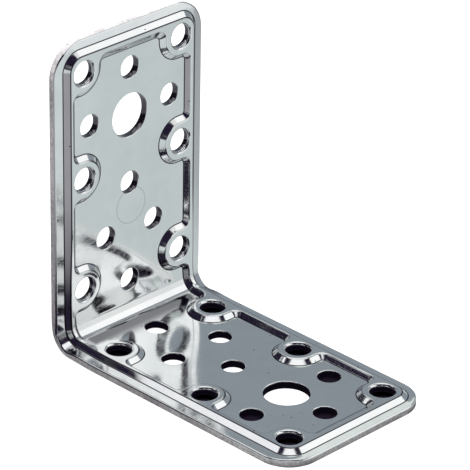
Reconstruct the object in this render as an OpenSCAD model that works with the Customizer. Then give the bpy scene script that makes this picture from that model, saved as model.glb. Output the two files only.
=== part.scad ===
// Angle bracket pressed from one piece of sheet steel: two equal legs at a right angle,
// stiffened by a raised rim that runs along both sides, round the bend and across both ends.
// Millimetres. It stands on one leg, +Z up, with the other leg rising at the low end of X.

/* [Legs] */
// Length of each leg, measured from the outside of the other leg
leg_length = 60; // [58:0.5:100]
// Width of the sheet
width = 36; // [35:0.5:60]
// Thickness of the sheet
sheet = 1.5; // [1:0.1:2]
// Radius on the inside of the bend
bend_radius = 3; // [2.5:0.1:3.6]
// Radius of the corners at the free ends
corner_radius = 6.3; // [3:0.1:7]

/* [Raised rim] */
// Flat margin between the edge of the sheet and the rim
margin = 1.95; // [1.2:0.05:2.4]
// Height of the rim and the pads above the sheet
rise = 0.95; // [0.5:0.05:1.2]
// Width taken by the outer slope of the rim
outer_slope = 1; // [0.7:0.05:1.2]
// Width taken by the inner slope of the rim
inner_slope = 0.65; // [0.4:0.05:1]
// Flat top of the rim along the sides
side_top = 0.7; // [0.4:0.05:1.2]
// Flat top of the rim across the free end
end_top = 1.5; // [0.8:0.05:2.2]
// Radius of the foot of the rim at its corners
rim_radius = 3.8; // [2.5:0.1:4.5]

/* [Screw pads] */
// Diameter of the flat top of a pad
pad_d = 7.2; // [6.4:0.1:8.4]
// Width taken by the slope round a pad
pad_slope = 1; // [0.6:0.05:1.3]
// Screw hole in a pad
screw_d = 4.5; // [3.5:0.1:5]
// Mouth of a screw hole, on the raised side
mouth_d = 5.4; // [5.2:0.1:6]
// Distance from the side of the sheet to the pad holes
pad_inset = 6.2; // [5.8:0.1:7]
// Distance from the free end to the first row of pads
pad_end = 6; // [5.6:0.1:7]
// Distance from the free end to the middle row of pads
pad_middle = 26.8; // [24:0.1:28]
// Distance from the back of the other leg to the last row of pads
pad_heel = 11.2; // [10:0.1:14]

/* [Holes in the field] */
// Nail and screw holes in the field
small_d = 4.3; // [3:0.1:5]
// Bolt hole
bolt_d = 8.4; // [6:0.1:9]
// Distance from the free end to the bolt hole
bolt_end = 18.1; // [17:0.1:19]
// Distance from the free end to the hole beside the end rim
tip_hole_end = 8.7; // [8.2:0.1:9.3]
// Distance from the free end to the pair beside the bolt hole
wide_pair_end = 17.1; // [15:0.1:18]
// Spacing of the pair beside the bolt hole
wide_pair_spacing = 19.6; // [18:0.1:21]
// Distance from the free end to the middle hole
middle_hole_end = 31.5; // [28:0.1:34]
// Distance from the back of the other leg to the pair near the bend
near_pair_heel = 19.2; // [17:0.1:22]
// Spacing of the pair near the bend
near_pair_spacing = 11.8; // [9:0.1:14]
// Distance from the back of the other leg to the hole beside the bend
heel_hole = 8.7; // [7:0.1:11]

/* [Hidden] */
$fn = 72;
half = width / 2;
// The bend turns about a line this far in from both outer faces
bend_centre = bend_radius + sheet;
pad_u = half - pad_inset;
// Places along a leg are measured from the back of the other leg
pad_rows = [leg_length - pad_end, leg_length - pad_middle, pad_heel];
rim_centre_u = half - margin - rim_radius;
rim_centre_v = leg_length - margin - rim_radius;
// Depth of the cone at the mouth of a screw hole
mouth_depth = (mouth_d - screw_d) / 2;
// A sheet of even thickness turns each slope inwards by this much on its hollow side
outer_inset = sheet * tan(atan(rise / outer_slope) / 2);
inner_inset = sheet * tan(atan(rise / inner_slope) / 2);
pad_inset_below = sheet * tan(atan(rise / pad_slope) / 2);
// A groove keeps this share of the depth at which its two walls would meet
groove_share = 0.85;
// Cuts run this far past a face
past = 1;

function rim_width(top) = outer_slope + top + inner_slope;
function groove_width(top) = rim_width(top) - outer_inset - inner_inset;
function groove_scale(top) = min(1, groove_share * groove_width(top) / (outer_slope + inner_slope));

// Section of the rim above the sheet: x inwards from its outer foot, y up
module rim_section(top)
    polygon([
        [0, sheet / 2],
        [0, sheet],
        [outer_slope, sheet + rise],
        [outer_slope + top, sheet + rise],
        [rim_width(top), sheet],
        [rim_width(top), sheet / 2]
    ]);

// Section of the groove that the rim leaves in the back of the sheet
module groove_section(top) {
    k = groove_scale(top);
    far = rim_width(top) - inner_inset;
    polygon([
        [outer_inset, -past],
        [outer_inset, 0],
        [outer_inset + k * outer_slope, k * rise],
        [far - k * inner_slope, k * rise],
        [far, 0],
        [far, -past]
    ]);
}

// Section across the width: x across, y from the back of the sheet to its front
module sheet_section()
    difference() {
        union() {
            translate([-half, 0]) square([width, sheet]);
            for (side = [0, 1]) mirror([side, 0])
                translate([half - margin, 0]) mirror([1, 0]) rim_section(side_top);
        }
        for (side = [0, 1]) mirror([side, 0])
            translate([half - margin, 0]) mirror([1, 0]) groove_section(side_top);
    }

// Lays a section across the width along a leg, from one distance to another
module along_leg(from, to)
    translate([from, 0, 0]) rotate([90, 0, 90]) linear_extrude(to - from) children();

// Flat sheet of a leg beyond the straight part of the side rims, with its two round corners
module end_plate()
    linear_extrude(sheet)
        intersection() {
            translate([rim_centre_v, -half]) square([leg_length - rim_centre_v, width]);
            union() {
                translate([0, -half]) square([leg_length - corner_radius, width]);
                translate([0, corner_radius - half])
                    square([leg_length, width - 2 * corner_radius]);
                for (side = [-1, 1])
                    translate([leg_length - corner_radius, side * (half - corner_radius)])
                        circle(corner_radius);
            }
        }

// Carries a section, drawn inwards from the foot of the rim, across the end and round a corner
module across_end()
    translate([leg_length - margin, rim_centre_u, 0]) rotate([90, 0, 0])
        linear_extrude(2 * rim_centre_u) mirror([1, 0]) children();

module round_corner()
    translate([rim_centre_v, rim_centre_u, 0]) rotate_extrude(angle = 90)
        intersection() {
            translate([rim_radius, 0]) mirror([1, 0]) children();
            translate([0, -past]) square([rim_radius, sheet + rise + 2 * past]);
        }

module end_rim()
    union() {
        across_end() rim_section(end_top);
        for (side = [0, 1]) mirror([0, side, 0])
            round_corner() rim_section(rim_radius);
    }

// Round raised pad, joined to the side rim by a tab of the same width
module pad() {
    foot_d = pad_d + 2 * pad_slope;
    translate([0, 0, sheet]) cylinder(h = rise, d1 = foot_d, d2 = pad_d);
    rotate([90, 0, 180]) linear_extrude(pad_inset - margin - outer_slope)
        polygon([
            [-foot_d / 2, sheet / 2],
            [-foot_d / 2, sheet],
            [-pad_d / 2, sheet + rise],
            [pad_d / 2, sheet + rise],
            [foot_d / 2, sheet],
            [foot_d / 2, sheet / 2]
        ]);
}

// Hollow behind a pad, and the screw hole with its opened mouth
module pad_cut() {
    hollow_d = pad_d + 2 * pad_slope - 2 * pad_inset_below;
    cylinder(h = rise, d1 = hollow_d, d2 = hollow_d - 2 * pad_slope);
    translate([0, 0, -past]) cylinder(h = past + rise / 2, d = hollow_d - pad_slope);
    translate([0, 0, -past]) cylinder(h = sheet + rise + 2 * past, d = screw_d);
    translate([0, 0, sheet + rise - mouth_depth])
        cylinder(h = 2 * mouth_depth, d1 = screw_d, d2 = screw_d + 4 * mouth_depth);
}

module at_pads()
    for (row = pad_rows)
        for (side = [0, 1])
            mirror([0, side, 0]) translate([row, pad_u, 0]) children();

module hole(along, across, d)
    translate([along, across, -past]) cylinder(h = sheet + 2 * past, d = d);

module field_holes() {
    hole(leg_length - bolt_end, 0, bolt_d);
    hole(leg_length - tip_hole_end, 0, small_d);
    hole(leg_length - middle_hole_end, 0, small_d);
    hole(heel_hole, 0, small_d);
    for (side = [-1, 1]) {
        hole(leg_length - wide_pair_end, side * wide_pair_spacing / 2, small_d);
        hole(near_pair_heel, side * near_pair_spacing / 2, small_d);
    }
}

// One leg beyond the bend, lying flat with its raised side up
module leg()
    difference() {
        union() {
            along_leg(bend_centre, rim_centre_v) sheet_section();
            end_plate();
            end_rim();
            at_pads() pad();
        }
        across_end() groove_section(end_top);
        at_pads() pad_cut();
        field_holes();
    }

module bend()
    translate([bend_centre, 0, bend_centre]) rotate([0, 180, 0]) rotate([90, 0, 0])
        rotate_extrude(angle = 90) translate([bend_centre, 0]) rotate(90) sheet_section();

module angle_bracket()
    color([0.76, 0.79, 0.81])
        translate([-leg_length / 2, 0, 0])
            union() {
                leg();
                rotate(a = 180, v = [1, 0, 1]) leg();
                bend();
            }

angle_bracket();
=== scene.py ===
# %% [markdown]
# # A pressed steel angle bracket
# The real bracket is one piece of sheet: punched, pressed in a die that raises a rim and
# screw pads, folded at a right angle and then plated with bright zinc. It could be made with
# booleans and bevels, but plate this shiny shows every stray facet. So this script draws the
# flat sheet first, gives it its pressed heights, and folds it last, which is the order in
# which the real one is made.

import bpy
import numpy as np
from mathutils import Matrix, Vector
from mathutils.geometry import delaunay_2d_cdt


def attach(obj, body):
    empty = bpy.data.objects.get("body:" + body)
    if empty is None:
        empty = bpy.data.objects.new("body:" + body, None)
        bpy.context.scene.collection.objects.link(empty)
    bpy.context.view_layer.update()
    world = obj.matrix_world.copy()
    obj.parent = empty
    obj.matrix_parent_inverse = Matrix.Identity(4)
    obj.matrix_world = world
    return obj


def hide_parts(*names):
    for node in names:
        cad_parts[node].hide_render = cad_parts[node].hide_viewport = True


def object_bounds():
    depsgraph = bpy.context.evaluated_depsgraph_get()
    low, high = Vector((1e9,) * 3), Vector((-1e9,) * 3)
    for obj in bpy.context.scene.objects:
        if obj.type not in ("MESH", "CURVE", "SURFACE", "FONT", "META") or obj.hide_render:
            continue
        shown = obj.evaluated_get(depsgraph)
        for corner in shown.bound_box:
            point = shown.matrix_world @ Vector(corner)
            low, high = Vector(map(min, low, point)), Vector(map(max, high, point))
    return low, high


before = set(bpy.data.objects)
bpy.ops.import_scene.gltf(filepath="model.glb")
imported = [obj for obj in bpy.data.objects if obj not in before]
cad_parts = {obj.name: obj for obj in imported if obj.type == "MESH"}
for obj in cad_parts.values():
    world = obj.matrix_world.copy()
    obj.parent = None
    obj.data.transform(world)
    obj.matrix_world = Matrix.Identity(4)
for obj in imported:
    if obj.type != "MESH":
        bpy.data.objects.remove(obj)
cad_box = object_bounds()
MM = 0.001
LOW, HIGH = (np.array(corner) / MM for corner in cad_box)
print("bracket, mm:", np.round(HIGH - LOW, 2))

# %% [markdown]
# ## The drawing
# A press tool starts as a drawing of the flat sheet. Two numbers place a point on it: s runs
# along the sheet, from the free end of the upright leg to the free end of the lying leg, with
# the bend at 0, and u runs across. The third number, h, is the height above the back of the
# sheet. All sizes are in millimetres until the mesh is made.

# %% Sizes of the sheet
LEG = HIGH[0] - LOW[0]
HALF = (HIGH[1] - LOW[1]) / 2
SHEET = 1.5
BEND_RADIUS = 3.0
CORNER_RADIUS = 6.3
RISE = 0.95
BEND_CENTRE = BEND_RADIUS + SHEET
ARC = BEND_RADIUS * np.pi / 2
END = ARC / 2 + LEG - BEND_CENTRE


def along(v):
    """Place s on the flat sheet of a point on the lying leg, v from the back of the upright leg:
    v less the bend's centre, plus half the arc."""
    return v - BEND_CENTRE + ARC / 2


print("flat sheet, mm:", round(2 * END, 2), "x", round(2 * HALF, 2))

# %% [markdown]
# ## Rim and pads
# The rim is a bead pressed up out of the sheet to make the bracket stiff, and the pads are flat
# tables beside it for the screw heads. They could be solids joined to a plate, but a pressing is
# one skin. So they are lines on the drawing, and each size here says where a slope starts, how
# wide it is or how round its corners are.

# %% Sizes of the rim and pads
MARGIN = 1.95
END_MARGIN = 1.6
RIM_RADIUS = 3.8
OUTER_SLOPE = 1.0
RIM_SLOPE = 0.8
END_SLOPE = 1.5
PAD_SLOPE = 1.0
SIDE_TOP = 0.7
END_TOP = 0.85
PAD_RADIUS = 4.6
PADS_FROM_END = np.array([6.0, 26.8, 48.8])
PADS_FROM_SIDE = 6.2
PAD_ROWS = LEG - PADS_FROM_END
PAD_U = HALF - PADS_FROM_SIDE
JOIN_RADIUS = 0.7
END_JOIN = 0.95
FIELD_U = HALF - MARGIN - OUTER_SLOPE - SIDE_TOP - RIM_SLOPE
FIELD_END = END - END_MARGIN - OUTER_SLOPE - END_TOP - END_SLOPE
print("flat field, mm:", round(2 * FIELD_END, 2), "x", round(2 * FIELD_U, 2))

# %% [markdown]
# ## Paths with rounded corners
# Every outline in the drawing is straight runs joined by arcs. One helper turns a list of
# corners and radii into points with their sideways direction, so that a profile can be carried
# along it. The long runs take their points from shared rows across the sheet, close together
# only where the sheet bends.

# %% Rows across the sheet
BEND_ROWS = np.linspace(-ARC / 2, ARC / 2, 29)
CLOSE_ROWS = np.arange(0.3, 8, 0.55)
WIDE_ROWS = np.arange(9, LEG, 2.0)
LEG_ROWS = ARC / 2 + np.r_[CLOSE_ROWS, WIDE_ROWS]
ROWS = np.r_[-LEG_ROWS[::-1], BEND_ROWS, LEG_ROWS]
ARC_STEP = 0.28
ROW_GAP = 0.25
SHORT_RUN = 0.3


def rounded_path(corners, radii, slopes=None):
    """Closed path through straight runs and tangent arcs. At a corner between the directions a
    and b, the arc starts a distance r tan(turn / 2) before it, and its points are the start plus
    r sin along a and r (1 - cos) towards the turn's side. Returns the points, their left sides,
    and the slope width of each point, which changes evenly along an arc."""
    corners = np.array(corners, float)
    count = len(corners)
    runs = np.roll(corners, -1, 0) - corners
    heading = runs / np.linalg.norm(runs, axis=1)[:, None]
    slopes = np.zeros(count) if slopes is None else np.array(slopes, float)
    places, sides, widths = [], [], []
    for i, radius in enumerate(radii):
        a, b = heading[i - 1], heading[i]
        left = np.array([-a[1], a[0]])
        turn = np.arctan2(a[0] * b[1] - a[1] * b[0], a @ b)
        hand = np.sign(turn)
        steps = max(4, int(np.ceil(radius * abs(turn) / ARC_STEP)))
        angle = np.linspace(0, abs(turn), steps + 1)[:, None]
        start = corners[i] - a * radius * np.tan(abs(turn) / 2)
        arc = start + radius * (np.sin(angle) * a + hand * (1 - np.cos(angle)) * left)
        places.append(arc)
        sides.append(np.cos(angle) * left - hand * np.sin(angle) * a)
        widths.append(np.linspace(slopes[i - 1], slopes[i], steps + 1))
        following = (i + 1) % count
        c = heading[following]
        next_turn = abs(np.arctan2(b[0] * c[1] - b[1] * c[0], b @ c))
        stop = corners[following] - b * radii[following] * np.tan(next_turn / 2)
        length = (stop - arc[-1]) @ b
        if abs(b[0]) > 0.5:
            run = (ROWS - arc[-1][0]) * b[0]
            run = np.sort(run[(run > ROW_GAP) & (run < length - ROW_GAP)])
        else:
            run = np.linspace(0, length, max(1, int(length / 2)) + 1)[1:-1]
        if length < SHORT_RUN:
            run = np.zeros(0)
        places.append(arc[-1] + run[:, None] * b)
        sides.append(np.repeat([[-b[1], b[0]]], len(run), 0))
        widths.append(np.full(len(run), slopes[i]))
        if length < 1e-6:
            places[-2], sides[-2], widths[-2] = arc[:-1], sides[-2][:-1], widths[-2][:-1]
    return np.concatenate(places), np.concatenate(sides), np.concatenate(widths)


def rectangle(end_inset, side_inset, radius):
    """Path round the sheet, at its own inset from the ends and from the sides."""
    s, u = END - end_inset, HALF - side_inset
    return rounded_path([(s, u), (-s, u), (-s, -u), (s, -u)], [radius] * 4)


sheet_edge = rectangle(0, 0, CORNER_RADIUS)
rim_foot = rectangle(END_MARGIN, MARGIN, RIM_RADIUS)
print("points on the edge and on the rim's foot:", len(sheet_edge[0]), len(rim_foot[0]))

# %% [markdown]
# The inside of the rim is the busiest line of the drawing: it steps round every pad. A pad is a
# tab with a round end, so it is four corners of the same path, two of them with the pad's own
# radius. Writing one side of one leg and mirroring it keeps the list short.

# %% Inner foot of the rim
def pad_corners(row):
    """The four corners of one pad's outline, walking towards the bend."""
    return [
        ((row + PAD_RADIUS, FIELD_U), JOIN_RADIUS, PAD_SLOPE),
        ((row + PAD_RADIUS, PAD_U - PAD_RADIUS), PAD_RADIUS, PAD_SLOPE),
        ((row - PAD_RADIUS, PAD_U - PAD_RADIUS), PAD_RADIUS, PAD_SLOPE),
        ((row - PAD_RADIUS, FIELD_U), JOIN_RADIUS, RIM_SLOPE),
    ]


pad_places = along(PAD_ROWS)
quarter = [((FIELD_END, PAD_U - PAD_RADIUS), END_JOIN, PAD_SLOPE)]
quarter += pad_corners(pad_places[0])[2:]
quarter += pad_corners(pad_places[1])
quarter += pad_corners(pad_places[2])


def mirrored(corners, turned_s, turned_u):
    """The same corners on another quarter of the sheet. One reflection alone reverses the walk,
    so each slope then belongs to the run before it."""
    flip = [((s * turned_s, u * turned_u), radius, slope) for (s, u), radius, slope in corners]
    if turned_s * turned_u > 0:
        return flip
    slopes = [slope for _, _, slope in flip]
    slopes = slopes[-2::-1] + [END_SLOPE]
    return [(place, radius, slope) for (place, radius, _), slope in zip(flip[::-1], slopes)]


walk = quarter + mirrored(quarter, -1, 1) + mirrored(quarter, -1, -1) + mirrored(quarter, 1, -1)
field_foot = rounded_path(*zip(*walk))
print("points on the inner foot:", len(field_foot[0]))

# %% [markdown]
# ## Profiles
# A pressed slope is a straight flank between two arcs: a tight one at its foot, where the punch
# corner bites, and an easier one at its shoulder, where the sheet rolls over the die. A mirror
# finish shows these arcs as thin dark and white lines, so they get several stations each.

# %% Slope profile
def smooth_step(x):
    """0 below 0, 1 above 1, and 3x^2 - 2x^3 between them."""
    x = np.clip(x, 0, 1)
    return x * x * (3 - 2 * x)


FOOT_RADIUS = 0.3
OUTER_SHOULDER = 0.42
INNER_SHOULDER = 0.68
GUARD = 0.05


def slope_profile(width, shoulder, shoulder_marks, foot=FOOT_RADIUS, foot_steps=4):
    """Distances, heights and painted line shade across a slope of the given widths, one row per
    point of the path. With the flank at angle A, each arc starts its radius times tan(A / 2) from
    where the flank would meet the flat, and runs round its centre from level to A, or from A back
    to level. A guard station on the flat at either end keeps the shading of the flats even. The
    foot arc always gets a dark line of painted shade in its crease, the shoulder what it is given."""
    angle = np.arctan2(RISE, width)[:, None]
    shoulder = np.broadcast_to(shoulder, width.shape)[:, None]
    mark_count = np.shape(shoulder_marks)[-1]
    shoulder_marks = np.broadcast_to(shoulder_marks, (len(width), mark_count))
    shoulder_steps = mark_count - 2
    low = angle * np.linspace(0, 1, foot_steps + 1)
    high = angle * np.linspace(1, 0, shoulder_steps + 1)
    foot_start = -foot * np.tan(angle / 2)
    shoulder_end = width[:, None] + shoulder * np.tan(angle / 2)
    across = np.hstack([
        foot_start - GUARD,
        foot_start + foot * np.sin(low),
        shoulder_end - shoulder * np.sin(high),
        shoulder_end + GUARD,
    ])
    flat = np.zeros_like(foot_start)
    up_foot = foot * (1 - np.cos(low))
    up_shoulder = RISE - shoulder * (1 - np.cos(high))
    height = np.hstack([flat, up_foot, up_shoulder, flat + RISE])
    # Painted shade: a dark line in the crease of every foot arc
    foot_marks = np.tile(np.r_[0, 0.9, [0.98] * (foot_steps - 1), 0], (len(width), 1))
    return across, SHEET + height, np.hstack([foot_marks, shoulder_marks])


def rings(path, across, heights, marks=None):
    """Outlines side by side along a path: every point moved sideways by its own distance. Each
    comes with its heights and its painted line shade."""
    points, left, _ = path
    count = across.shape[1]
    marks = np.zeros(across.shape) if marks is None else marks
    return [(points + left * across[:, [k]], heights[:, k], marks[:, k]) for k in range(count)]


# How much painted shade darkens each station of the shoulder, from the flank up to the flat
# top: on the outer slopes, on the inner slopes that look towards -Y, and on those that look
# towards +Y, which are painted darker
OUTER_LINE_SHADE = np.array([0, 0.98, 1, 1, 0.95, 0.7, 0.25, 0])
INNER_LINE_SHADE = np.array([0, 0.4, 0.2, 0, 0, 0, 0, 0])
FAR_LINE_SHADE = np.array([0, 0.9, 0.95, 0.9, 0.6, 0.1, 0, 0])
# The outer slope is steeper round the bend and reaches its full width 23 mm from its middle
STEEP_SLOPE = 0.68
STEEP_LENGTH, EASING_LENGTH = 9, 14
from_bend = smooth_step((np.abs(rim_foot[0][:, 0]) - STEEP_LENGTH) / EASING_LENGTH)
outer_slopes = STEEP_SLOPE + (OUTER_SLOPE - STEEP_SLOPE) * from_bend
outer_across, outer_height, outer_marks = slope_profile(outer_slopes, OUTER_SHOULDER, OUTER_LINE_SHADE)
# Painted shade: inner slopes that face +Y get the darker shoulder line
turned_away = smooth_step(field_foot[1][:, [1]] / 0.6)
inner_line_shade = INNER_LINE_SHADE + (FAR_LINE_SHADE - INNER_LINE_SHADE) * turned_away
inner_across, inner_height, inner_marks = slope_profile(field_foot[2], INNER_SHOULDER, inner_line_shade)
front = rings(rim_foot, outer_across, outer_height, outer_marks)
front += rings(field_foot, -inner_across, inner_height, inner_marks)
print("outlines on the slopes:", len(front))

# %% [markdown]
# ## Edges and holes
# A punch pulls the surface down with it before it shears, so every punched edge has a soft
# rolled lip on the face it enters and a sharper one on the back. The pad holes are opened wider,
# as a seat for a screw head. All of these are a quarter of an ellipse turned round a circle or
# carried along the edge.

# %% Lips and circles
EDGE_LIP = 0.28
HOLE_LIP = 0.17
SEAT_WIDTH = 0.48
SEAT_DEPTH = 0.62
BACK_LIP = 0.07


def lip(width, depth, steps):
    """Quarter of an ellipse from the wall (0, -depth) up to the face (width, 0), with a guard
    station: width (1 - cos) across and depth (1 - sin) down, for angles from 0 to a quarter."""
    angle = np.linspace(0, np.pi / 2, steps + 1)
    across, down = width * (1 - np.cos(angle)), -depth * (1 - np.sin(angle))
    return np.r_[across, width + GUARD], np.r_[down, 0]


def circle(place, radius, count):
    """Points of a circle, evenly spaced: place + radius (cos, sin)."""
    angle = np.arange(count) * 2 * np.pi / count
    return np.array(place) + radius * np.c_[np.cos(angle), np.sin(angle)]


def hole_rings(place, radius, face, width, depth, steps, count, sign=1):
    """Outlines of a hole's lip, from its wall out to the face: circles whose radius grows by the
    lip's width at each station. sign -1 makes the lip of the back."""
    out, down = lip(width, depth, steps)
    return [
        (circle(place, radius + o, count), np.full(count, face + sign * d), np.zeros(count))
        for o, d in zip(out, down)
    ]


# %% [markdown]
# ## Places of the holes
# The holes are punched while the sheet is flat, in the same pattern on both legs. Booleans could
# cut them, but they leave long thin triangles that a mirror finish shows. So each hole is a
# circle in the drawing. One leg's places are written down, from the back of the other leg, and
# mirrored.

# %% List of the holes
SCREW_RADIUS = 2.25
SMALL_RADIUS = 2.15
BOLT_RADIUS = 4.2
SMALL_POINTS, BOLT_POINTS = 44, 72
tip_hole = (LEG - 8.7, 0.0)
middle_hole = (LEG - 31.5, 0.0)
heel_hole = (8.7, 0.0)
wide_pair = [(LEG - 17.1, 9.8), (LEG - 17.1, -9.8)]
near_pair = [(19.2, 5.9), (19.2, -5.9)]
bolt_hole = (LEG - 18.1, 0.0)
one_leg = [tip_hole, middle_hole, heel_hole, *wide_pair, *near_pair]
small_holes = [(side * along(v), u) for side in (1, -1) for v, u in one_leg]
bolt_holes = [(side * along(bolt_hole[0]), bolt_hole[1]) for side in (1, -1)]
pad_holes = [(side * s, up * PAD_U) for side in (1, -1) for up in (1, -1) for s in pad_places]
plain_holes = [(small_holes, SMALL_RADIUS, SMALL_POINTS), (bolt_holes, BOLT_RADIUS, BOLT_POINTS)]
all_holes = plain_holes + [(pad_holes, SCREW_RADIUS, SMALL_POINTS)]
print("holes:", len(small_holes), "small,", len(bolt_holes), "bolt,", len(pad_holes), "in pads")

# %% [markdown]
# ## Height of the back
# The back of the sheet follows the front at a distance. Behind a pad that leaves a dish, and
# behind the narrow rim only a shallow groove, because the sheet closes up in it. A height
# function of the distance to the outlines gives both, and it needs no outline of its own.

# %% Depth function of the back
DISH_WIDTH = 1.05
SHRINK = 0.6
FIELD_CORNER = 0.2


def box_distance(s, u, half_s, half_u, radius):
    """Signed distance to a rectangle with rounded corners, negative inside: the length of the
    part beyond the corner's centre, or the larger part inside, less the corner radius."""
    a, b = np.abs(s) - half_s + radius, np.abs(u) - half_u + radius
    outside = np.hypot(np.maximum(a, 0), np.maximum(b, 0))
    return outside + np.minimum(np.maximum(a, b), 0) - radius


def raised_distance(s, u):
    """How far a place lies inside the raised rim and pads, in mm, negative on the flats. It is the
    smaller of the distance from the rim's outer foot and that from its inner foot or a pad."""
    from_edge = -box_distance(s, u, END - END_MARGIN, HALF - MARGIN, RIM_RADIUS)
    from_field = box_distance(s, u, FIELD_END, FIELD_U, FIELD_CORNER)
    tab = np.abs(u)[:, None] - PAD_U
    row = np.abs(s)[:, None] - pad_places
    from_pads = (PAD_RADIUS - np.hypot(row, np.minimum(tab, 0))).max(1)
    return np.minimum(from_edge, np.maximum(from_field, from_pads))


def back_height(s, u):
    """Height of the back face: 0 on the flats, rising over a dish's width to the full rise, with
    a smooth step 3x^2 - 2x^3 at both ends."""
    return RISE * smooth_step((raised_distance(s, u) - SHRINK) / DISH_WIDTH)


print("depth of the dish behind a pad, mm:", round(back_height(pad_places[:1], [PAD_U])[0], 2))

# %% [markdown]
# ## One net of triangles per face
# Blender's own constrained triangulation takes all outlines of a face as lines that no triangle
# may cross, plus loose dots where the sheet curves. For every point of the result it names the
# given point that it came from, so the heights go straight back on. Triangles that fall inside
# a hole are dropped.

# %% Triangulating a face
JOINED = 1e-5


def net(outlines, dots, dot_heights):
    """Triangles over closed outlines and loose dots. Returns the flat points, heights, marks and
    triangles, for every given point its place in the net, and where each outline starts."""
    given = np.concatenate([outline[0] for outline in outlines] + [dots])
    heights = np.concatenate([outline[1] for outline in outlines] + [dot_heights])
    marks = np.concatenate([outline[2] for outline in outlines] + [np.zeros(len(dots))])
    starts = np.cumsum([0] + [len(outline[0]) for outline in outlines])
    lines = [
        np.c_[np.arange(a, b), np.r_[np.arange(a + 1, b), a]] for a, b in zip(starts, starts[1:])
    ]
    result = delaunay_2d_cdt(
        [Vector(p) for p in given.tolist()], np.concatenate(lines).tolist(), [], 0, JOINED
    )
    flat = np.array([p[:] for p in result[0]])
    triangles = np.array(result[2])
    kept = np.array([source[0] if source else -1 for source in result[3]])
    where = np.full(len(given), -1)
    for place, source in enumerate(result[3]):
        where[source] = place
    assert (kept >= 0).all(), "two outlines cross"
    return flat, heights[kept], marks[kept], triangles, where, starts


def outside_holes(flat, triangles):
    """Keeps the triangles whose middle lies in no hole."""
    middle = flat[triangles].mean(1)
    keep = np.ones(len(triangles), bool)
    for holes, radius, _ in all_holes:
        away = np.linalg.norm(middle[:, None] - np.array(holes), axis=2).min(1)
        keep &= away > radius * 0.999
    return triangles[keep]


# %% [markdown]
# ## Loose dots
# Between the outlines the sheet is nearly flat, but it folds and waves a little, and triangles
# follow that only where they have corners. A subdivision modifier would add corners everywhere
# and round off the crisp lines, so the field gets a grid of dots, in the rows that the outlines
# use.

# %% Dots between the outlines
def clear_of_holes(dots, gap):
    """Drops dots that fall in a hole or nearer than the gap to one."""
    for holes, radius, _ in all_holes:
        away = np.linalg.norm(dots[:, None] - np.array(holes), axis=2).min(1)
        dots = dots[away > radius + gap]
    return dots


def grid(rows, columns):
    """Every crossing of the rows and columns."""
    s, u = np.meshgrid(rows, columns, indexing="ij")
    return np.c_[s.ravel(), u.ravel()]


FIELD_COLUMNS = 19
COLUMN_INSET = 1.2
FOOT_GAP, END_GAP, HOLE_GAP = 0.45, 0.5, 0.5
columns = np.linspace(-FIELD_U + COLUMN_INSET, FIELD_U - COLUMN_INSET, FIELD_COLUMNS)
field_dots = grid(ROWS, columns)
on_field = raised_distance(*field_dots.T) < -FOOT_GAP
on_field &= np.abs(field_dots[:, 0]) < FIELD_END - END_GAP
field_dots = clear_of_holes(field_dots[on_field], HOLE_GAP)
print("dots on the field:", len(field_dots))

# %% [markdown]
# ## The raised side
# This side shows the cut edge with its rolled lip, the rim, the pads and the lips of all holes.
# A solid model would round each edge with a bevel, which breaks down where edges crowd. Here
# every lip is a few more outlines. The number of each hole's first outline is kept, because the
# walls start from it.

# %% Front face
LIP_STEPS, SEAT_STEPS, BACK_STEPS = 4, 7, 2
edge_out, edge_down = lip(EDGE_LIP, EDGE_LIP, LIP_STEPS)
count = len(sheet_edge[0])
edge_heights = SHEET + np.tile(edge_down, (count, 1))
front = rings(sheet_edge, np.tile(edge_out, (count, 1)), edge_heights) + front
front_holes = []
for places, radius, points in plain_holes:
    for place in places:
        front_holes.append(len(front))
        front += hole_rings(place, radius, SHEET, HOLE_LIP, HOLE_LIP, LIP_STEPS, points)
for place in pad_holes:
    front_holes.append(len(front))
    front += hole_rings(
        place, SCREW_RADIUS, SHEET + RISE, SEAT_WIDTH, SEAT_DEPTH, SEAT_STEPS, SMALL_POINTS
    )
front_flat, front_h, front_marks, front_triangles, front_where, front_starts = net(
    front, field_dots, np.full(len(field_dots), SHEET)
)
front_triangles = outside_holes(front_flat, front_triangles)
print("front:", len(front_flat), "points,", len(front_triangles), "triangles")

# %% [markdown]
# ## The hollow side
# The back has soft dishes behind the pads and a shallow groove behind the rim. It could be drawn
# with outlines too, but nothing on it is crisp. So a fine grid of dots follows the height
# function where it slopes, a coarse one fills the flats, and a few more carry the groove round
# the bend.

# %% Back face
FINE_STEP = 0.42
FINE_COLUMNS, COARSE_COLUMNS, GROOVE_COLUMNS = 84, 23, 8
GROOVE_SIDES = (13.9, 16.0)
back_out, back_down = lip(BACK_LIP, BACK_LIP, BACK_STEPS)
back = rings(sheet_edge, np.tile(back_out, (count, 1)), -np.tile(back_down, (count, 1)))
back_holes = []
for places, radius, points in plain_holes:
    for place in places:
        back_holes.append(len(back))
        back += hole_rings(place, radius, 0, BACK_LIP, BACK_LIP, BACK_STEPS, points, -1)
for place in pad_holes:
    back_holes.append(len(back))
    back += hole_rings(
        place, SCREW_RADIUS, RISE, BACK_LIP, BACK_LIP, BACK_STEPS, SMALL_POINTS, -1
    )
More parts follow.
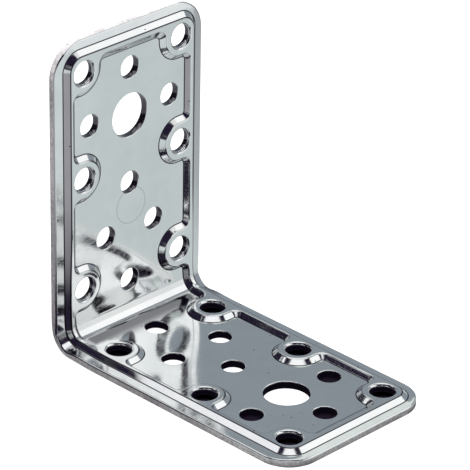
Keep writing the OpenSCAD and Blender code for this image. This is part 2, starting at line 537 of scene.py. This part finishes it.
# Fine dots cover the slopes with a little to spare, and coarse ones keep off them. Round the bend
# there are only coarse ones
fine_rows = np.arange(-END + 1.5, END - 1.4, FINE_STEP)
fine = grid(fine_rows, np.linspace(-HALF + 1.6, HALF - 1.6, FINE_COLUMNS))
depth = raised_distance(*fine.T)
sloping = (depth > SHRINK - 0.5) & (depth < SHRINK + DISH_WIDTH + 0.4)
fine = fine[sloping & (np.abs(fine[:, 0]) > ARC / 2 + 0.3)]
coarse = grid(ROWS, np.linspace(-HALF + 1.0, HALF - 1.0, COARSE_COLUMNS))
depth = raised_distance(*coarse.T)
coarse = coarse[(depth < SHRINK - 0.7) | (np.abs(coarse[:, 0]) < ARC / 2 + 0.2)]
bend_grooves = grid(BEND_ROWS, np.linspace(*GROOVE_SIDES, GROOVE_COLUMNS))
bend_grooves = np.concatenate([bend_grooves, bend_grooves * [1, -1]])
back_dots = np.concatenate([fine, coarse, bend_grooves])
# No dot lies within 0.5 mm of the cut edge or 0.3 mm of a hole, where the lips are
near_edge = box_distance(*back_dots.T, END, HALF, CORNER_RADIUS) > -0.5
back_dots = clear_of_holes(back_dots[~near_edge], 0.3)
back_flat, back_h, back_marks, back_triangles, back_where, back_starts = net(
    back, back_dots, back_height(*back_dots.T)
)
back_triangles = outside_holes(back_flat, back_triangles)
print("back:", len(back_flat), "points,", len(back_triangles), "triangles")

# %% [markdown]
# ## Small movements of the sheet
# A real pressing is never quite true. Its margins are coined a little lower, the bend runs out
# slowly into the lying leg, and the punch leaves slight waves there, which a mirror shows at
# once. A noise texture could move the surface anywhere. Short formulas of the place on the sheet
# move it where the press does.

# %% Small movements of the sheet
END_COIN = 0.15
SIDE_COIN = 0.18
BEND_BOW = 0.33
BOW_LENGTH = 8.5
WAVE = 0.04
WAVE_REACH = 14
CALM_SIDES = 7
EDGE_CURL = 0.4
# Strength of the painted shade along the inside of the bend
BEND_SHADE = 0.8


def coined(flat):
    """How far the margin is pressed down: nothing at the rim's foot and most at the edge, in
    proportion to the distance between them. Folding curls it further in the bend."""
    s, u = np.abs(flat.T)
    at_end = np.clip((s - END + END_MARGIN) / END_MARGIN, 0, 1)
    at_side = np.clip((u - HALF + MARGIN) / MARGIN, 0, 1)
    in_bend = 1 - smooth_step((s - 1) / 4)
    return np.hypot(END_COIN * at_end, (SIDE_COIN + EDGE_CURL * in_bend) * at_side)


def drift(flat):
    """How far the sheet strays from true. The bend runs out slowly into the lying leg, and both
    legs wave a little within 28 mm of it, as a sum of two sines that fades with distance and
    towards the sides. One repeats about every 18 mm along the sheet, the other every 19 mm
    across it."""
    s, u = flat.T
    bow = smooth_step(s / ARC + 1) * (1 - smooth_step((s - 0.5) / BOW_LENGTH))
    start = smooth_step((np.abs(s) - ARC / 2) / 4)
    fade = start * (1 - smooth_step((np.abs(s) - WAVE_REACH) / WAVE_REACH))
    inside = 1 - smooth_step((np.abs(u) - CALM_SIDES) / 6)
    wave = np.sin(s / 2.9 + 0.16 * u + 1.0) + 0.8 * np.sin(u / 3.1 - 0.11 * s)
    return BEND_BOW * bow + WAVE * fade * inside * wave


# Painted shade, not a movement of the sheet: a darker strip along the inside of the bend
def bend_shade(flat):
    """Painted shade along the inside of the bend: how much the field is darkened there. It rises
    as a smooth step late in the bend, and falls as another over the lying leg's first 4 mm."""
    s = flat[:, 0]
    in_field = 1 - smooth_step((raised_distance(*flat.T) + 0.4) / 0.3)
    return BEND_SHADE * in_field * smooth_step((s - 1.15) / 0.6) * (1 - smooth_step((s - 3.1) / 3.6))


# %% [markdown]
# ## Folding
# The fold is the last step at the press and the last one here. Up to the bend the sheet stays
# flat, and in the bend each row turns about one line, so a point's distance from that line is
# the bend's centre less its height. The sheared walls then join the two faces, outline to
# outline, as a strip of four-sided faces.

# %% Fold and walls
def fold(flat, h):
    """Place of a flat point in the row frame. The turn runs from 0 on the upright leg to a quarter
    on the lying leg. x is the centre - radius cos(turn) + overshoot sin(turn), and z is
    the centre - radius sin(turn) - overshoot cos(turn)."""
    s, u = flat.T
    turn = np.clip(s / ARC + 0.5, 0, 1) * np.pi / 2
    overshoot = s - np.clip(s, -ARC / 2, ARC / 2)
    radius = BEND_CENTRE - h
    x = LOW[0] + BEND_CENTRE - radius * np.cos(turn) + overshoot * np.sin(turn)
    z = LOW[2] + BEND_CENTRE - radius * np.sin(turn) - overshoot * np.cos(turn)
    return np.c_[x, u, z] * MM


def wall(front_ring, back_ring, turned):
    """Four-sided faces between the same outline on both faces: each point of the front ring, the
    same on the back, and the next of both."""
    a = front_where[front_starts[front_ring]:front_starts[front_ring + 1]]
    b = back_where[back_starts[back_ring]:back_starts[back_ring + 1]] + len(front_flat)
    quads = np.c_[a, b, np.roll(b, -1), np.roll(a, -1)]
    return quads[:, ::-1] if turned else quads


walls = [wall(0, 0, False)]
walls += [wall(f, b, True) for f, b in zip(front_holes, back_holes)]
walls = np.concatenate(walls)
front_h = front_h - coined(front_flat) + drift(front_flat)
back_h = back_h + np.maximum(drift(back_flat), 0)
# The painted shade of the bend joins the painted slope lines
front_marks = np.maximum(front_marks, bend_shade(front_flat))
vertices = np.concatenate([fold(front_flat, front_h), fold(back_flat, back_h)])
back_faces = back_triangles[:, ::-1] + len(front_flat)
faces = front_triangles.tolist() + back_faces.tolist() + walls.tolist()
print("vertices:", len(vertices), "triangles:", len(faces) + len(walls))

# %% [markdown]
# ## The mesh
# All corners and faces now go into one mesh, which carries two more things: which finish each
# face has, and a number at each corner, the painted line shade, that says how much painted
# shade darkens the plate there. Smooth shading alone would bend the flats near a slope, so the
# Weighted Normal modifier lets the large faces decide.

# %% Mesh of the bracket
PLATE_SLOT, EDGE_SLOT, PUNCHED_SLOT = 0, 1, 2
mesh = bpy.data.meshes.new("angle_bracket_plate")
mesh.from_pydata(vertices, [], faces)
mesh.update()
bracket = bpy.data.objects.new("angle_bracket_plate", mesh)
bpy.context.scene.collection.objects.link(bracket)
# Painted shade along the slope lines and the bend, one number per corner
marks = mesh.attributes.new("painted_line_shade", "FLOAT", "POINT")
marks.data.foreach_set("value", np.concatenate([front_marks, back_marks]).astype(np.float32))
slots = np.full(len(faces), PLATE_SLOT, np.int32)
slots[-len(walls):] = PUNCHED_SLOT
slots[-len(walls):-len(walls) + len(sheet_edge[0])] = EDGE_SLOT
mesh.polygons.foreach_set("material_index", slots)
mesh.polygons.foreach_set("use_smooth", np.ones(len(faces), bool))
weighted = bracket.modifiers.new("even_normals", "WEIGHTED_NORMAL")
weighted.mode = "FACE_AREA"
weighted.weight = 50
print("faces of plate, sheared edge and punched wall:", np.bincount(slots).tolist())

# %% [markdown]
# ## Finishes
# Bright zinc is a thin plating, almost a mirror. In a shader that is a metal of very low
# roughness, and what makes it look real is small: a faint cloudiness in the gloss and a few dark
# specks. Pictures could carry these, but they blur up close. Nodes that read the place on the
# object stay sharp at any distance, and a few short helpers keep them readable.

# %% Shader helpers
def node(tree, kind, **settings):
    """A new node with some of its settings."""
    made = tree.nodes.new(kind)
    for name, value in settings.items():
        setattr(made, name, value)
    return made


def feed(tree, sockets, values):
    """Puts each value into its socket: a plain one as it is, and another node's by a link."""
    for socket, value in zip(sockets, values):
        if isinstance(value, bpy.types.NodeSocket):
            tree.links.new(value, socket)
        else:
            socket.default_value = value


def calc(tree, operation, *values):
    """Output of a Math node."""
    made = node(tree, "ShaderNodeMath", operation=operation)
    feed(tree, made.inputs, values)
    return made.outputs["Value"]


def vector_calc(tree, operation, *values, output="Vector"):
    """Output of a Vector Math node."""
    made = node(tree, "ShaderNodeVectorMath", operation=operation)
    feed(tree, made.inputs, values)
    return made.outputs[output]


def axes(tree, vector):
    """The X and Y of a vector."""
    split = node(tree, "ShaderNodeSeparateXYZ")
    tree.links.new(vector, split.inputs[0])
    return split.outputs["X"], split.outputs["Y"]


def smooth_ramp(tree, value, start, stop):
    """0 before the start, 1 past the stop, and an even S between them. The stop may be the lower
    one."""
    ramp = node(tree, "ShaderNodeMapRange", interpolation_type="SMOOTHSTEP")
    ramp.inputs["From Min"].default_value = start
    ramp.inputs["From Max"].default_value = stop
    tree.links.new(value, ramp.inputs["Value"])
    return ramp.outputs["Result"]


def blend(tree, factor, first, second):
    """Mixes two colours, each a plain colour or a socket."""
    mix = node(tree, "ShaderNodeMix", data_type="RGBA")
    tree.links.new(factor, mix.inputs[0])
    for socket, colour in ((mix.inputs[6], first), (mix.inputs[7], second)):
        if isinstance(colour, tuple):
            socket.default_value = (*colour, 1)
        else:
            tree.links.new(colour, socket)
    return mix.outputs[2]


def noise(tree, place, scale, detail, stretch=(1, 1, 1)):
    """Cloudy noise of a place, at a scale in cycles per metre along each stretched axis."""
    cloud = node(tree, "ShaderNodeTexNoise")
    cloud.inputs["Scale"].default_value = scale
    cloud.inputs["Detail"].default_value = detail
    tree.links.new(vector_calc(tree, "MULTIPLY", place, stretch), cloud.inputs["Vector"])
    return cloud.outputs["Fac"]


def sum_of(tree, *parts):
    """Adds sockets, each times its own factor."""
    total = 0
    for value, factor in parts:
        total = calc(tree, "MULTIPLY_ADD", value, factor, total)
    return total


# %% [markdown]
# ## Wear that the finishes share
# Handling and plating leave the same traces all over the bracket. They could be made again in
# each material, but then they would not meet at the edges. So they are one node group with named
# outputs, and each finish takes what it needs in its own strength: haze is a slow change of
# gloss, grain is fine streaks, and specks are small dark spots.

# %% Wear of the plate
SPECK_SHARE = (0.82, 0.84)
wear = bpy.data.node_groups.new("plate_wear", "ShaderNodeTree")
wear.interface.new_socket("Place", in_out="INPUT", socket_type="NodeSocketVector")
for output in ("Haze", "Grain", "Specks"):
    wear.interface.new_socket(output, in_out="OUTPUT", socket_type="NodeSocketFloat")
place = node(wear, "NodeGroupInput").outputs["Place"]
result = node(wear, "NodeGroupOutput")
clouds = sum_of(wear, (noise(wear, place, 95, 3), 0.65), (noise(wear, place, 420, 4), 0.35))
wear.links.new(smooth_ramp(wear, clouds, 0.3, 0.7), result.inputs["Haze"])
wear.links.new(noise(wear, place, 2600, 5, (1, 0.35, 1)), result.inputs["Grain"])
cells = node(wear, "ShaderNodeTexVoronoi")
cells.inputs["Scale"].default_value = 650
wear.links.new(place, cells.inputs["Vector"])
near_middle = smooth_ramp(wear, cells.outputs["Distance"], 0.12, 0.06)
chosen = smooth_ramp(wear, axes(wear, cells.outputs["Color"])[0], *SPECK_SHARE)
wear.links.new(calc(wear, "MULTIPLY", near_middle, chosen), result.inputs["Specks"])
print("nodes in the wear group:", len(wear.nodes))


# %% A metal that wears
def worn_metal(name):
    """Adds a metal material with the wear group in it to the bracket's mesh. Returns its node
    tree, the shader, the group's outputs and the place on the object."""
    material = bpy.data.materials.new(name)
    material.use_nodes = True
    tree = material.node_tree
    shader = tree.nodes["Principled BSDF"]
    shader.inputs["Metallic"].default_value = 1
    used = node(tree, "ShaderNodeGroup", node_tree=wear)
    place = node(tree, "ShaderNodeTexCoord").outputs["Object"]
    tree.links.new(place, used.inputs["Place"])
    mesh.materials.append(material)
    return tree, shader, used.outputs, place


def uneven(tree, shader, height, distance, strength):
    """Tilts the light on a surface as if it rose by the height times the distance in metres."""
    bump = node(tree, "ShaderNodeBump")
    bump.inputs["Distance"].default_value = distance
    bump.inputs["Strength"].default_value = strength
    tree.links.new(height, bump.inputs["Height"])
    tree.links.new(bump.outputs["Normal"], shader.inputs["Normal"])


# %% [markdown]
# ## Bright zinc
# The plating covers both faces. Thin dark lines at the feet and shoulders of the slopes, and a
# darker strip along the inside of the bend, are painted shade: the painted line shade in the
# mesh mixes a near-black colour into the plate. Reflections alone could darken them, but they
# would move with the light. The faint ring on the upright leg is probably from a pin of the
# press. It is a thin shell round a point, drawn by distance.

# %% Zinc plate
PLATE = (0.88, 0.895, 0.895)
DULL_PLATE = (0.81, 0.83, 0.835)
# Near-black for the real specks and pin ring, and for the painted shade of slope lines and bend
DARK_STAIN_AND_SHADE = (0.03, 0.025, 0.04)
PIN_PLACE = ((LOW[0] + SHEET) * MM, 0.0003, 0.0238)
PIN_RADIUS, RING_HALF = 0.0035, 0.00015
PIN_STRENGTH = 0.35
tree, shader, signs, place = worn_metal("bright_zinc")
# Painted shade: the plate is darkened where the mesh's painted line shade is high
line_shade = node(tree, "ShaderNodeAttribute", attribute_name="painted_line_shade")
clouded = blend(tree, signs["Haze"], DULL_PLATE, PLATE)
line_shaded = blend(tree, line_shade.outputs["Fac"], clouded, DARK_STAIN_AND_SHADE)
specked = blend(tree, signs["Specks"], line_shaded, DARK_STAIN_AND_SHADE)
from_pin = vector_calc(tree, "DISTANCE", place, PIN_PLACE, output="Value")
beyond_ring = smooth_ramp(tree, from_pin, PIN_RADIUS - RING_HALF, PIN_RADIUS)
within_ring = smooth_ramp(tree, from_pin, PIN_RADIUS + RING_HALF, PIN_RADIUS)
pin_ring = calc(tree, "MULTIPLY", calc(tree, "MULTIPLY", beyond_ring, within_ring), PIN_STRENGTH)
tree.links.new(blend(tree, pin_ring, specked, DARK_STAIN_AND_SHADE), shader.inputs["Base Color"])
gloss = sum_of(tree, (signs["Haze"], -0.03), (signs["Grain"], 0.22))
tree.links.new(gloss, shader.inputs["Roughness"])
uneven(tree, shader, sum_of(tree, (signs["Haze"], 1.0), (signs["Grain"], 0.25)), 0.00001, 0.12)
print("nodes in the zinc:", len(tree.nodes))

# %% [markdown]
# ## Cut edge and punched walls
# The outline of the sheet was sheared, and the torn steel is grey and rough. The walls of the
# holes were burnished by the punch and look nearly black beside the plate. One finish for both
# would be simpler, but the edge has to look matt and the walls still glint.

# %% Sheared edge and hole walls
tree, shader, signs, place = worn_metal("sheared_edge")
shader.inputs["Metallic"].default_value = 0.15
shader.inputs["Roughness"].default_value = 0.5
torn = noise(tree, place, 1500, 4)
tone = smooth_ramp(tree, sum_of(tree, (torn, 0.7), (signs["Haze"], 0.3)), 0.3, 0.7)
torn_colour = blend(tree, tone, (0.19, 0.178, 0.184), (0.34, 0.33, 0.335))
tree.links.new(torn_colour, shader.inputs["Base Color"])
uneven(tree, shader, torn, 0.00006, 0.5)

tree, shader, signs, place = worn_metal("punched_wall")
burnished = blend(tree, signs["Grain"], (0.075, 0.065, 0.085), (0.22, 0.205, 0.23))
tree.links.new(burnished, shader.inputs["Base Color"])
gloss = sum_of(tree, (signs["Grain"], 0.24), (signs["Haze"], 0.03))
tree.links.new(gloss, shader.inputs["Roughness"])
print("finishes:", [material.name for material in mesh.materials])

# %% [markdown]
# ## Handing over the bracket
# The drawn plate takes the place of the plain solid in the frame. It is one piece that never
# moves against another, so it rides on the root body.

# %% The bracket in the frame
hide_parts("angle_bracket")
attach(bracket, "root")
print("object at:", list(bracket.location))

# %% [markdown]
# ## Studio
# A mirror shows the studio more than itself. Round the bracket the photograph shows only plain
# white, yet the metal shows cards, lights and dark gaps. Real cards could stand about, but each
# would also shade the rest. Here the floor and the sky have two looks each. The camera sees the first, pale one, and the metal reflects the second,
# which is painted by place on the floor and by direction in the sky.

# %% Floor
FLOOR_SIZE = 6.0
FLOOR_GAP = 0.00002
edge = FLOOR_SIZE / 2
corners = [(-edge, -edge, 0), (edge, -edge, 0), (edge, edge, 0), (-edge, edge, 0)]
floor_mesh = bpy.data.meshes.new("floor")
floor_mesh.from_pydata(corners, [], [(0, 1, 2, 3)])
floor = bpy.data.objects.new("floor", floor_mesh)
bpy.context.scene.collection.objects.link(floor)
floor.location.z = -FLOOR_GAP
print("floor, m:", FLOOR_SIZE, "square")

# %% [markdown]
# ## What the metal sees of the floor
# What the metal sees of the floor is painted reflection: for reflected rays the floor glows in
# areas like grey card, darker on the left of the bracket, with painted shadow close to it,
# paler on the right, with white glare far out. Each area is laid over the last along a straight
# soft edge, in the floor's own metres, because that is how cards lie on a table.

# %% Areas of the card
# Colours of the painted reflection, a glow that only reflected rays see; SHADE is painted shadow
FAR_GLOW = (0.66, 0.71, 0.715)
MIDDLE_GLOW = (0.59, 0.64, 0.645)
SIDE_GLOW = (0.40, 0.42, 0.435)
NEAR_GLOW = (0.35, 0.335, 0.36)
BEHIND_GLOW = (0.40, 0.42, 0.43)
SHADE = (0.02, 0.015, 0.03)
GLARE = (0.84, 0.87, 0.88)
card = bpy.data.materials.new("pale_floor_painted_light")
card.use_nodes = True
tree = card.node_tree
tree.nodes.clear()
place = node(tree, "ShaderNodeTexCoord").outputs["Object"]
x, y = axes(tree, place)
rightwards = calc(tree, "ADD", x, y)
away = calc(tree, "SUBTRACT", y, x)


def area(colour, value, start, stop, under):
    """Lays a colour over another, from nothing at the start to all of it at the stop."""
    return blend(tree, smooth_ramp(tree, value, start, stop), under, colour)


# Painted shadow of the bracket on the near left, painted glow further out
left_glow = area(SHADE, y, -0.058, -0.030, NEAR_GLOW)
left_glow = area(SHADE, x, -0.020, -0.045, left_glow)
right_glow = area(MIDDLE_GLOW, away, -0.02, 0.03, FAR_GLOW)
right_glow = area(GLARE, rightwards, 0.17, 0.25, right_glow)
right_glow = area(SIDE_GLOW, away, 0.046, 0.062, right_glow)
right_glow = area(SHADE, away, 0.13, 0.20, right_glow)
reflected = area(right_glow, rightwards, -0.019, -0.009, left_glow)
reflected = area(BEHIND_GLOW, x, -0.040, -0.055, reflected)
print("nodes for the areas:", len(tree.nodes))

# %% [markdown]
# ## Shade under the bracket
# Under a plate that lies on a table hardly any light arrives, so its holes look black. Real
# shadow would leave them grey under so soft a light. The shade is therefore painted, as the
# distance to a rounded rectangle under the bracket. Some holes in the photograph show white
# paper instead, and a disc of painted light lies where the camera looks through each of them.

# %% Shade and bright discs
SHADE_CORNER = 4.0
DISC_SHIFT = 1.0
DISC_FULL, DISC_GONE = 1.5, 2.1
foot = SHADE_CORNER * MM
# Half sides of the rectangle through the corner centres; the height counts for nothing
half_sides = ((LEG - BEND_CENTRE) / 2 * MM - foot, HALF * MM - foot, 1)
centred = vector_calc(tree, "SUBTRACT", place, (BEND_CENTRE / 2 * MM, 0, 0))
beyond = vector_calc(tree, "SUBTRACT", vector_calc(tree, "ABSOLUTE", centred), half_sides)
only_beyond = vector_calc(tree, "MAXIMUM", beyond, (0, 0, 0))
outer_part = vector_calc(tree, "LENGTH", only_beyond, output="Value")
inner_part = calc(tree, "MINIMUM", calc(tree, "MAXIMUM", *axes(tree, beyond)), 0)
apart = calc(tree, "ADD", outer_part, inner_part)
# Painted shadow in the reflection, close round the bracket's footprint
reflected = area(reflected, apart, foot - 0.001, foot + 0.002, SHADE)
# Where the paper stays white: outside the painted shadow under the bracket
white = smooth_ramp(tree, apart, foot - 0.0022, foot - 0.0004)
white_holes = [(*hole, SMALL_RADIUS) for hole in (middle_hole, heel_hole, *near_pair)]
white_holes += [(*bolt_hole, BOLT_RADIUS)]
# Discs of painted light in the painted shadow, where the camera looks through these holes
for v, u, radius in white_holes:
    seen_at = ((LOW[0] + v - DISC_SHIFT) * MM, (u + DISC_SHIFT) * MM, 0)
    from_hole = vector_calc(tree, "DISTANCE", place, seen_at, output="Value")
    disc = smooth_ramp(tree, from_hole, (radius + DISC_GONE) * MM, (radius + DISC_FULL) * MM)
    white = calc(tree, "MAXIMUM", white, disc)
print("bright discs:", len(white_holes))

# %% [markdown]
# ## The floor's two looks
# What the camera sees is matt paper with a little glow of its own, so that it comes out near
# white, as in the photograph. Under the bracket the paper is painted near-black as shadow and
# has no glow, except in the discs of painted light. Light Path tells the camera's rays from
# the reflected ones, and a Mix Shader gives each its own look.

# %% Putting the floor together
# Near-black paper under the bracket, as painted shadow
PAINTED_SHADOW_PAPER = (0.003, 0.002, 0.004)
# Painted reflection: the floor glows with the painted areas for every ray but the camera's
glow = node(tree, "ShaderNodeEmission")
tree.links.new(reflected, glow.inputs["Color"])
paper = node(tree, "ShaderNodeBsdfDiffuse")
fibres = blend(tree, noise(tree, place, 900, 4), (0.085, 0.085, 0.085), (0.125, 0.125, 0.125))
# Painted shadow: near-black paper under the bracket, except in the discs
tree.links.new(blend(tree, white, PAINTED_SHADOW_PAPER, fibres), paper.inputs["Color"])
lift = node(tree, "ShaderNodeEmission")
lift.inputs["Color"].default_value = (0.93, 0.93, 0.93, 1)
tree.links.new(white, lift.inputs["Strength"])
pale = node(tree, "ShaderNodeAddShader")
feed(tree, pale.inputs, (paper.outputs[0], lift.outputs[0]))
seen_by_camera = node(tree, "ShaderNodeLightPath").outputs["Is Camera Ray"]
choice = node(tree, "ShaderNodeMixShader")
feed(tree, choice.inputs, (seen_by_camera, glow.outputs[0], pale.outputs[0]))
tree.links.new(choice.outputs[0], node(tree, "ShaderNodeOutputMaterial").inputs["Surface"])
floor_mesh.materials.append(card)
print("nodes in the floor:", len(tree.nodes))

# %% [markdown]
# ## Sky of the studio
# Soft boxes and walls are round soft patches of sky, each at an angle around the bracket and a
# height above the horizon. Area lamps could do this too, but a patch is easier to place: a
# reflection in a flat mirror comes from one direction, and the patch goes there. Where patches
# overlap, the brightest wins.

# %% World
world = bpy.data.worlds.new("studio")
bpy.context.scene.world = world
world.use_nodes = True
sky = world.node_tree
sky.nodes.clear()
direction = node(sky, "ShaderNodeTexCoord").outputs["Generated"]


def towards(around, height):
    """Direction at an angle around from +X and a height above the horizon, in degrees: (cos a
    cos e, sin a cos e, sin e)."""
    a, e = np.radians(around), np.radians(height)
    return np.cos(a) * np.cos(e), np.sin(a) * np.cos(e), np.sin(e)


def patch(around, height, inner, outer, colour):
    """Light from a round patch of sky, full within the inner angle of its middle and gone beyond
    the outer one, in degrees."""
    near = vector_calc(sky, "DOT_PRODUCT", direction, towards(around, height), output="Value")
    inside = smooth_ramp(sky, near, np.cos(np.radians(outer)), np.cos(np.radians(inner)))
    scale = node(sky, "ShaderNodeVectorMath", operation="SCALE")
    scale.inputs[0].default_value = colour
    sky.links.new(inside, scale.inputs["Scale"])
    return scale.outputs["Vector"]


dark_room = patch(0, 90, 178, 180, (0.017, 0.012, 0.030))
overhead = patch(0, 90, 26, 30, (1.05, 1.05, 1.07))
right_side = [
    patch(36, 22, 27, 31, (0.85, 0.855, 0.85)),
    patch(57, 38, 16, 18.5, (1.10, 1.10, 1.10)),
    patch(-4, 6, 8, 16, (0.25, 0.25, 0.27)),
]
far_side = [
    patch(97, 50, 5, 9, (0.46, 0.47, 0.49)),
    patch(118, 46, 12, 15, (0.80, 0.85, 0.82)),
    patch(105, 28, 46, 52, (0.272, 0.305, 0.34)),
]
left_side = [
    patch(172, 52, 12, 18, (0.76, 0.79, 0.80)),
    patch(180, 6, 14, 26, (0.42, 0.44, 0.45)),
    patch(-146, 46, 9, 13, (0.98, 0.98, 1.0)),
    patch(-135, 17, 7, 13, (0.05, 0.05, 0.06)),
]
near_side = [
    patch(-82, 6, 10, 20, (0.42, 0.44, 0.45)),
    patch(-43, 15, 7, 13, (0.28, 0.28, 0.30)),
]
room = dark_room
for light in [overhead, *right_side, *far_side, *left_side, *near_side]:
    room = vector_calc(sky, "MAXIMUM", room, light)
seen = node(sky, "ShaderNodeBackground")
seen.inputs["Color"].default_value = (0.985, 0.985, 0.985, 1)
lit = node(sky, "ShaderNodeBackground")
sky.links.new(room, lit.inputs["Color"])
seen_by_camera = node(sky, "ShaderNodeLightPath").outputs["Is Camera Ray"]
choice = node(sky, "ShaderNodeMixShader")
feed(sky, choice.inputs, (seen_by_camera, lit.outputs[0], seen.outputs[0]))
sky.links.new(choice.outputs[0], node(sky, "ShaderNodeOutputWorld").inputs["Surface"])
print("nodes in the sky:", len(sky.nodes))

# %% [markdown]
# ## Lamps for the matt surfaces
# The cut edges and the paper are not mirrors, and they need light that falls on them. The sky
# could give it, but it was set for its reflections. Two wide sun lamps add it, one overhead and
# one from the near side. They are hidden from glossy rays, so no second set of lights shows in
# the metal.

# %% Soft lamps
def lamp(name, around, height, width, strength):
    """A wide soft light from an angle around and a height, in degrees."""
    light = bpy.data.lights.new(name, "SUN")
    light.energy = strength
    light.angle = np.radians(width)
    holder = bpy.data.objects.new(name, light)
    bpy.context.scene.collection.objects.link(holder)
    turn = Vector(towards(around, height)).to_track_quat("Z", "Y")
    holder.rotation_euler = turn.to_euler()
    holder.visible_glossy = False
    print(name, "strength:", strength)


lamp("overhead_light", 0, 90, 56, 13.5)
lamp("near_light", -100, 8, 54, 2.7)

# %% [markdown]
# ## Camera
# The photograph looks down on the near corner of the lying leg through a long lens. A camera
# can be moved by eye until the picture fits, but a mirror shows every degree of error. So its
# place, line of sight and lens were fitted to the outline and the holes, with the bracket at its
# real size. It is rolled by about a degree.

# %% Camera
PICTURE = 470
FOCAL_PIXELS = 3426.2
SENSOR = 36.0
CAMERA_PLACE = Vector((0.3742, -0.38073, 0.30356))
SIGHT = Vector((-0.624436, 0.632639, -0.458091))
RIGHT = Vector((0.706057, 0.707989, 0.015312))
camera_data = bpy.data.cameras.new("camera")
camera_data.sensor_width = SENSOR
camera_data.lens = FOCAL_PIXELS / PICTURE * SENSOR
camera_data.clip_start = 0.01
camera = bpy.data.objects.new("camera", camera_data)
bpy.context.scene.collection.objects.link(camera)
turned = Matrix((RIGHT, RIGHT.cross(SIGHT), -SIGHT)).transposed().to_4x4()
camera.matrix_world = Matrix.Translation(CAMERA_PLACE) @ turned
bpy.context.scene.camera = camera
bpy.context.scene.view_settings.view_transform = "Standard"
print("lens, mm:", round(camera_data.lens, 1), "distance, m:", round(CAMERA_PLACE.length, 3))
